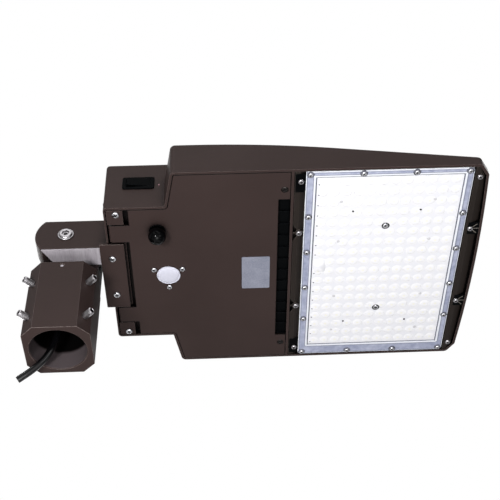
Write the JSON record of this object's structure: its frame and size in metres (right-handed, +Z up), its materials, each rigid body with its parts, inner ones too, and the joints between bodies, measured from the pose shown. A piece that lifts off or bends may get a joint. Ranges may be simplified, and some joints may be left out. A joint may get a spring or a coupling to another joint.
{
  "type": "led floodlight",
  "caption": "Bronze LED area light on a slip-fitter knuckle: finned head with a clear lens panel, hinged driver door, photocell, motion sensor and rocker switch.",
  "frame": {"origin": "on the tenon's axis, in the plane of the sleeve's open mouth", "axes": "+Z up along the tenon into the sleeve, +X from the tenon to the far end of the head, -Y the side with the rocker switch"},
  "size_m": [0.5316, 0.307, 0.2149],
  "materials": {
    "bronze_casting": "die-cast, dark bronze powder coat, satin",
    "bare_aluminium": "machined, uncoated",
    "stainless_steel": "bright stainless",
    "black_rubber": "matt moulded rubber",
    "black_cord": "glossy black cord jacket",
    "black_plastic": "fine moulded texture",
    "glossy_black_plastic": "polished",
    "white_plastic": "milky, slightly glossy",
    "clear_polycarbonate": "clear moulded optic, frosted flange",
    "silicone_seal": "grey silicone",
    "white_board": "white solder mask on an aluminium core",
    "driver_case": "plain aluminium can",
    "blue_epoxy": "potted cartridge"
  },
  "bodies": {
    "sleeve": {"tenon_sleeve": "bronze_casting", "cable_bushing": "black_rubber", "supply_cord": "black_cord"},
    "screw_1": {"set_screw_1": "stainless_steel"},
    "screw_2": {"set_screw_2": "stainless_steel"},
    "screw_3": {"set_screw_3": "stainless_steel"},
    "screw_4": {"set_screw_4": "stainless_steel"},
    "head": {"mount_arm": "bronze_casting", "arm_wear_strips": "bare_aluminium", "pivot_bolt": "stainless_steel", "pivot_washer": "stainless_steel", "pivot_nut": "stainless_steel", "arm_bolts": "stainless_steel", "plate_screws": "stainless_steel", "housing": "bronze_casting", "corner_blocks": "bronze_casting", "corner_block_screws": "stainless_steel", "led_driver": "driver_case", "driver_screws": "stainless_steel", "terminal_block": "white_plastic", "surge_protector": "blue_epoxy", "switch_body": "black_plastic", "air_baffle": "black_plastic", "heat_sink": "bronze_casting", "module_screws": "stainless_steel", "led_board": "white_board", "lens_gasket": "silicone_seal", "lens_panel": "clear_polycarbonate", "lens_screws": "stainless_steel"},
    "door": {"driver_door": "bronze_casting", "door_gasket": "black_rubber", "door_screws": "stainless_steel", "hinge_pins": "stainless_steel", "photocell_base": "black_plastic", "photocell_nut": "black_plastic", "photocell_dome": "glossy_black_plastic", "sensor_body": "black_plastic", "sensor_lens": "white_plastic", "sensor_screws": "stainless_steel", "rating_plate": "bare_aluminium"},
    "rocker": {"rocker": "glossy_black_plastic"}
  },
  "joints": [
    {"name": "set_screw_1_drive", "type": "slide", "parent": "sleeve", "child": "screw_1", "axis": [0.7071, 0.7071, 0], "range_m": [0, 0.008]},
    {"name": "set_screw_2_drive", "type": "slide", "parent": "sleeve", "child": "screw_2", "axis": [0.7071, 0.7071, 0], "range_m": [0, 0.008]},
    {"name": "set_screw_3_drive", "type": "slide", "parent": "sleeve", "child": "screw_3", "axis": [-0.7071, 0.7071, 0], "range_m": [0, 0.008]},
    {"name": "set_screw_4_drive", "type": "slide", "parent": "sleeve", "child": "screw_4", "axis": [-0.7071, 0.7071, 0], "range_m": [0, 0.008]},
    {"name": "knuckle_tilt", "type": "hinge", "parent": "sleeve", "child": "head", "pos_m": [0, 0, 0.147], "axis": [0, -1, 0], "range_deg": [-5, 90]},
    {"name": "door_swing", "type": "hinge", "parent": "head", "child": "door", "pos_m": [0.0574, 0, 0.1157], "axis": [0, 1, 0], "range_deg": [0, 70]},
    {"name": "rocker_press", "type": "hinge", "parent": "head", "child": "rocker", "pos_m": [0.09, -0.106, 0.1555], "axis": [0, 0, -1], "range_deg": [0, 13]}
  ]
}
